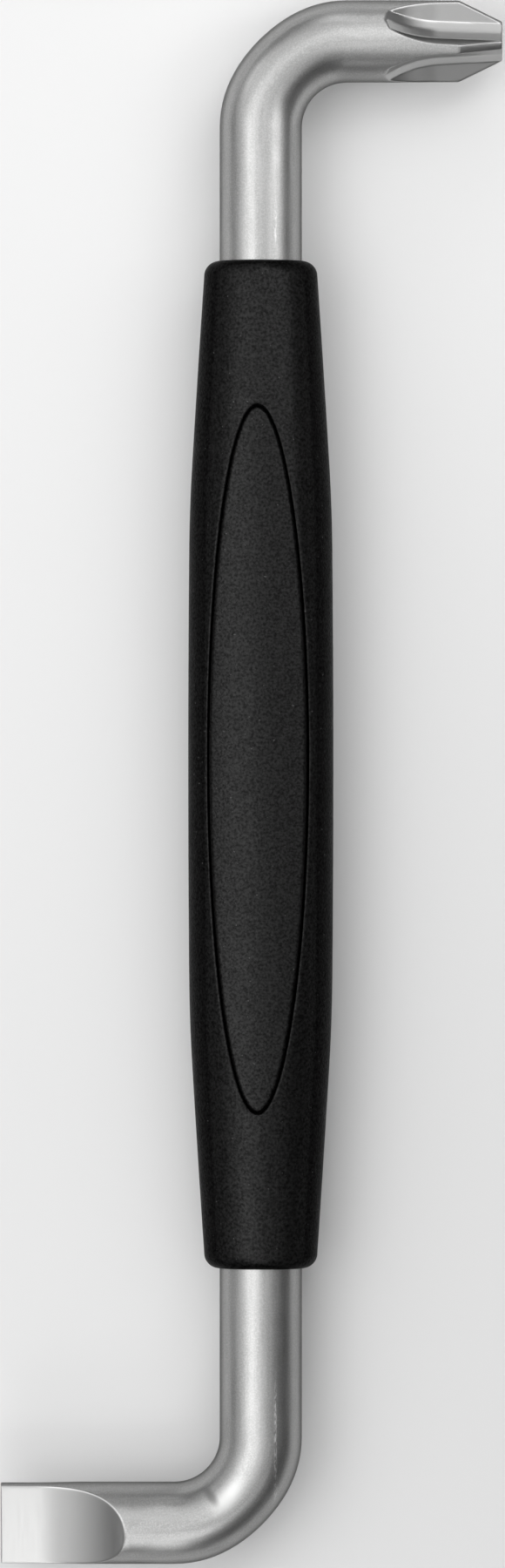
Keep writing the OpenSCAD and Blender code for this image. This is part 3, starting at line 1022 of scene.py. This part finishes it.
# %% The black finishes
def black_moulding(piece, name, base, roughness, grain_size, grain_depth):
    """Black plastic or rubber: base is its grey, grain_size the mottle in metres and grain_depth its
    height. Gloss is the grain's own, times a share that falls as the surface turns away."""
    recipe = Recipe(name)
    place = recipe.add("TexCoord", out="Object")
    grain = noise(recipe, place, 1 / grain_size, *MOTTLE)
    tone = blend(recipe, remap(recipe, grain, *INNER, 0, 1), grey(base * PIT_SHADE), grey(base * TOP_SHADE))
    dust = remap(recipe, noise(recipe, place, *DUST), *DUST_SPAN, 0, 1)
    tone = blend(recipe, dust, tone, grey(DUST_GREY))
    cloud = noise(recipe, place, *GLOSS_CLOUD)
    rough = remap(recipe, cloud, *OUTER, roughness - ROUGHNESS_SPREAD, roughness + ROUGHNESS_SPREAD)
    facing = recipe.add("LayerWeight", {"Blend": 0.5}, out="Facing")
    gloss = compute(
        recipe, "MULTIPLY", remap(recipe, grain, *INNER, PIT_GLOSS, TOP_GLOSS),
        remap(recipe, facing, *TURNED, 1.0, TURNED_GLOSS))
    relief = bump(recipe, grain, grain_depth, MOTTLE_STRENGTH)
    recipe.shade(piece, Base_Color=tone, Roughness=rough, Specular_IOR_Level=gloss, Normal=relief)


black_moulding(sleeve, "grip_rubber", 0.003, 0.37, grain_size=0.00028, grain_depth=0.00007)
black_moulding(core, "core_plastic", 0.003, 0.35, grain_size=0.00025, grain_depth=0.00006)

# %% [markdown]
# ## Bench, light and camera
# The tool lies on a plain pale bench in a dim room. A round bar is a curved mirror: each lamp shows in it as
# a stripe whose place says where the lamp stands and whose width says how large it is. So the lamps are
# placed by the stripes in the photograph. A broad strip at the upper left makes the long highlights on
# handle and bar. A box at the right makes the thinner stripe at the bar's right. The arms lie across the
# tool, so they need lamps of their own: two boxes beyond its far end and two before its near end. Three
# weak ones light the bends. All but the strip have a honeycomb grid in front, which keeps a lamp's light
# to the part of the tool that it is meant for.

# %% The bench
BENCH_HALF = 4.0         # metres from its middle to its edges
BENCH_GREY = 0.86

corners = [(x * BENCH_HALF, y * BENCH_HALF, 0) for x, y in ((-1, -1), (1, -1), (1, 1), (-1, 1))]
sheet = bpy.data.meshes.new("bench")
sheet.from_pydata(corners, [], [(0, 1, 2, 3)])
floor = bpy.data.objects.new("bench", sheet)
bpy.context.scene.collection.objects.link(floor)
Recipe("bench_white").shade(floor, Base_Color=grey(BENCH_GREY), Roughness=0.9, Specular_IOR_Level=0.0)


# %% A lamp
def soft_box(name, place, target, rise, level, brightness, grid=180, roll=0):
    """A rectangular lamp at place that faces target, all in metres: rise is its size in the upright plane
    through its beam, level its size across that plane. brightness is that of its face, on a scale where 1
    looks white. grid is the angle in degrees that a honeycomb in front lets its light spread to, and roll
    turns the lamp about its beam.

    The watts come from the brightness: a bare face sends out pi times brightness times area. Behind a grid
    of half angle h only (tan h - h) / tan h of that is left, because the face darkens towards the grid's
    angle in a straight line of the tangent."""
    half = math.radians(grid) / 2
    kept = 1.0 if grid >= 180 else (math.tan(half) - half) / math.tan(half)
    lamp = bpy.data.lights.new(name, "AREA")
    lamp.shape, lamp.size, lamp.size_y, lamp.spread = "RECTANGLE", rise, level, math.radians(grid)
    lamp.energy = brightness * math.pi * rise * level * kept
    holder = bpy.data.objects.new(name, lamp)
    bpy.context.scene.collection.objects.link(holder)
    holder.location = place
    aim = (Vector(target) - Vector(place)).to_track_quat("-Z", "X")
    holder.rotation_euler = (aim @ Quaternion((0, 0, 1), math.radians(roll))).to_euler()
    print(f"{name}: {lamp.energy:.4f} W")


# %% The lamps: name, place, target, rise, level, brightness
# Along the handle and the bar.
soft_box("left_strip", (-0.275, -0.05, 0.57), (-0.03, 0.02, 0), 0.34, 0.51, 1.45, roll=9)
soft_box("right_box", (0.34, 0.11, 0.355), (-0.01, 0.12, 0), 0.47, 0.18, 4.2, grid=50, roll=6)
# For the cross point's arm, beyond the far end, and for the blade's, before the near end.
soft_box("far_box", (0.105, 0.235, 0.255), (-0.015, 0.105, 0), 0.18, 0.48, 3.9, grid=54, roll=66)
soft_box("far_low_box", (0.015, 0.39, 0.13), (0.05, 0.125, 0), 0.12, 0.23, 3.6, grid=40, roll=-52)
soft_box("near_box", (-0.015, -0.29, 0.255), (-0.04, -0.13, 0), 0.13, 0.20, 3.7, grid=40, roll=-9)
soft_box("near_low_box", (-0.065, -0.345, 0.145), (-0.04, -0.12, 0), 0.145, 0.135, 4.5, grid=40, roll=14)
# For the bends.
soft_box("near_right_box", (0.163, -0.222, 0.268), (-0.008, -0.078, 0), 0.28, 0.16, 1.3, grid=26)
soft_box("middle_right_box", (0.158, -0.082, 0.276), (-0.013, 0.056, 0), 0.26, 0.14, 2.1, grid=20)
soft_box("far_left_box", (-0.275, 0.242, 0.131), (-0.005, 0.068, 0), 0.25, 0.13, 2.5, grid=24)

# %% The room
HORIZON, OVERHEAD = 0.05, 1.08           # its strength away from the bright side and towards it
LEAN = (0.39, 0.98)      # how far a direction leans to the bright side, where the strength starts and stops
LONG_WAY = 0.976
BRIGHT_SIDE = (-0.400, 0.124, 0.908)     # overhead, a little to the left


def studio_air():
    """The dim room: dark towards the horizon. Its strength goes by how far a direction leans to
    BRIGHT_SIDE, from HORIZON to OVERHEAD along a smooth curve. The bright side is stretched a little along
    the tool, because the direction's y is shrunk by LONG_WAY first."""
    world = bpy.data.worlds.new("studio")
    bpy.context.scene.world = world
    world.use_nodes = True
    nodes, link = world.node_tree.nodes, world.node_tree.links.new
    direction = nodes.new("ShaderNodeTexCoord")
    squeeze, unit, lean = (nodes.new("ShaderNodeVectorMath") for _ in range(3))
    squeeze.operation, unit.operation, lean.operation = "MULTIPLY", "NORMALIZE", "DOT_PRODUCT"
    squeeze.inputs[1].default_value = (1, LONG_WAY, 1)
    lean.inputs[1].default_value = BRIGHT_SIDE
    ramp = nodes.new("ShaderNodeMapRange")
    ramp.interpolation_type = "SMOOTHSTEP"
    for socket, value in zip(("From Min", "From Max", "To Min", "To Max"), (*LEAN, HORIZON, OVERHEAD)):
        ramp.inputs[socket].default_value = value
    link(direction.outputs["Generated"], squeeze.inputs[0])
    link(squeeze.outputs["Vector"], unit.inputs[0])
    link(unit.outputs["Vector"], lean.inputs[0])
    link(lean.outputs["Value"], ramp.inputs["Value"])
    link(ramp.outputs["Result"], nodes["Background"].inputs["Strength"])
    nodes["Background"].inputs["Color"].default_value = grey(1)
    print(f"{world.name}: {len(nodes)} nodes")


studio_air()

# %% The camera
# It looks straight down from far above, as a long lens does. The scale is set at the height of the bar's
# centre line, and the camera stands over the middle of the picture.
PHOTO_WIDTH, PHOTO_HEIGHT = 580, 1800    # pixels
ORIGIN_PIXEL = (299.5, 877.75)           # where the frame's origin lies, from the picture's upper left
PIXEL = 0.0848           # mm of the tool to a pixel of the photograph
EYE = 1200.0             # mm from the lens to the bar's centre line
SENSOR = 36.0            # mm, for the picture's longer side

camera = bpy.data.cameras.new("camera")
camera.sensor_width = SENSOR
camera.lens = SENSOR * EYE / (PHOTO_HEIGHT * PIXEL)
camera.clip_start, camera.clip_end = 0.01, 20.0
eye = bpy.data.objects.new("camera", camera)
bpy.context.scene.collection.objects.link(eye)
right, up = PHOTO_WIDTH / 2 - ORIGIN_PIXEL[0], ORIGIN_PIXEL[1] - PHOTO_HEIGHT / 2
eye.location = (right * PIXEL * MM, up * PIXEL * MM, (EYE + AXIS_Z) * MM)
bpy.context.scene.camera = eye
bpy.context.scene.view_settings.view_transform = "Standard"
print(f"lens {camera.lens:.1f} mm, over {right * PIXEL:.2f}, {up * PIXEL:.2f} mm")
